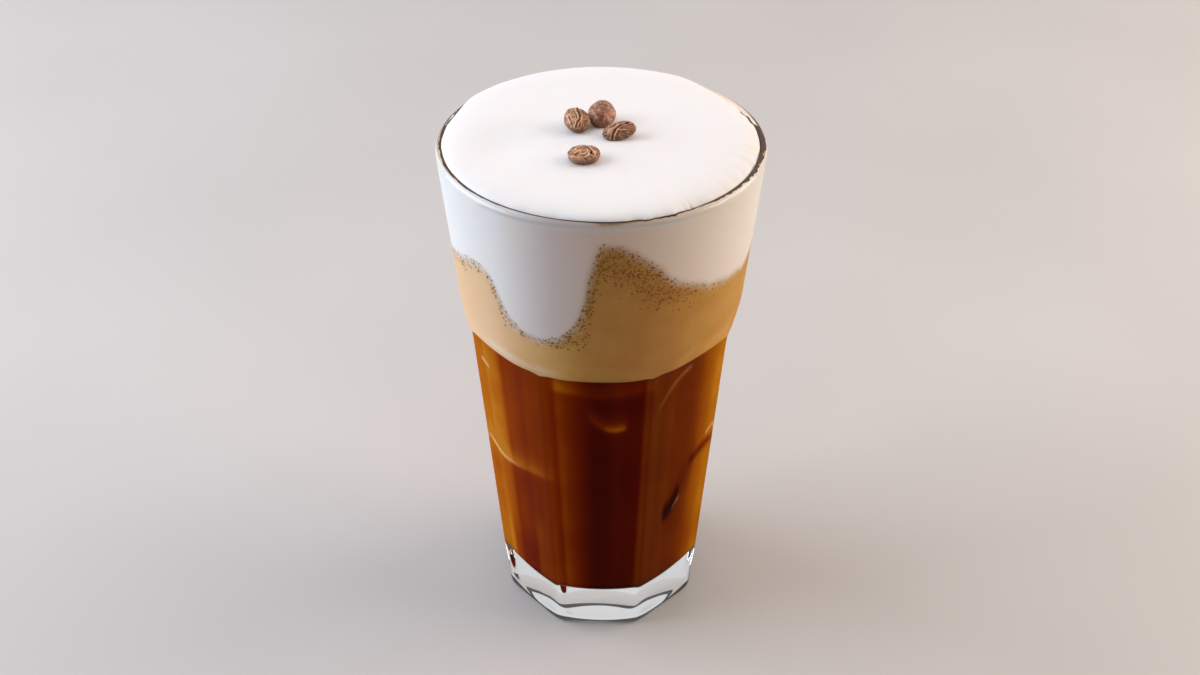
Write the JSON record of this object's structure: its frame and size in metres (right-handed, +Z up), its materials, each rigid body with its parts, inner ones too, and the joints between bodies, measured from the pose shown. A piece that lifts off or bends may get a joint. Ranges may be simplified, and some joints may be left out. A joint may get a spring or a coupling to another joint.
{
  "type": "iced coffee in a faceted glass",
  "caption": "Tall faceted tumbler of black coffee with a tan crema band and a thick milk foam cap over the rim, topped with roasted coffee beans.",
  "frame": {"origin": "centre of the glass's base, on the surface it stands on", "axes": "+Z up along the glass; -Y is the side that the picture shows; +X to the viewer's right"},
  "size_m": [0.088, 0.088, 0.1632],
  "materials": {
    "clear_glass": "pressed and fire-polished, clear",
    "black_coffee": "liquid, dark brown, amber where it is thin",
    "crema": "fine tan foam with small bubbles",
    "milk_foam": "dense white foam, smooth and softly matt",
    "roasted_bean": "roasted, wrinkled, faint oily sheen"
  },
  "bodies": {
    "root": {"glass": "clear_glass", "coffee": "black_coffee", "crema": "crema", "milk_foam": "milk_foam", "coffee_bean_1": "roasted_bean", "coffee_bean_2": "roasted_bean", "coffee_bean_3": "roasted_bean", "coffee_bean_4": "roasted_bean"}
  },
  "joints": []
}
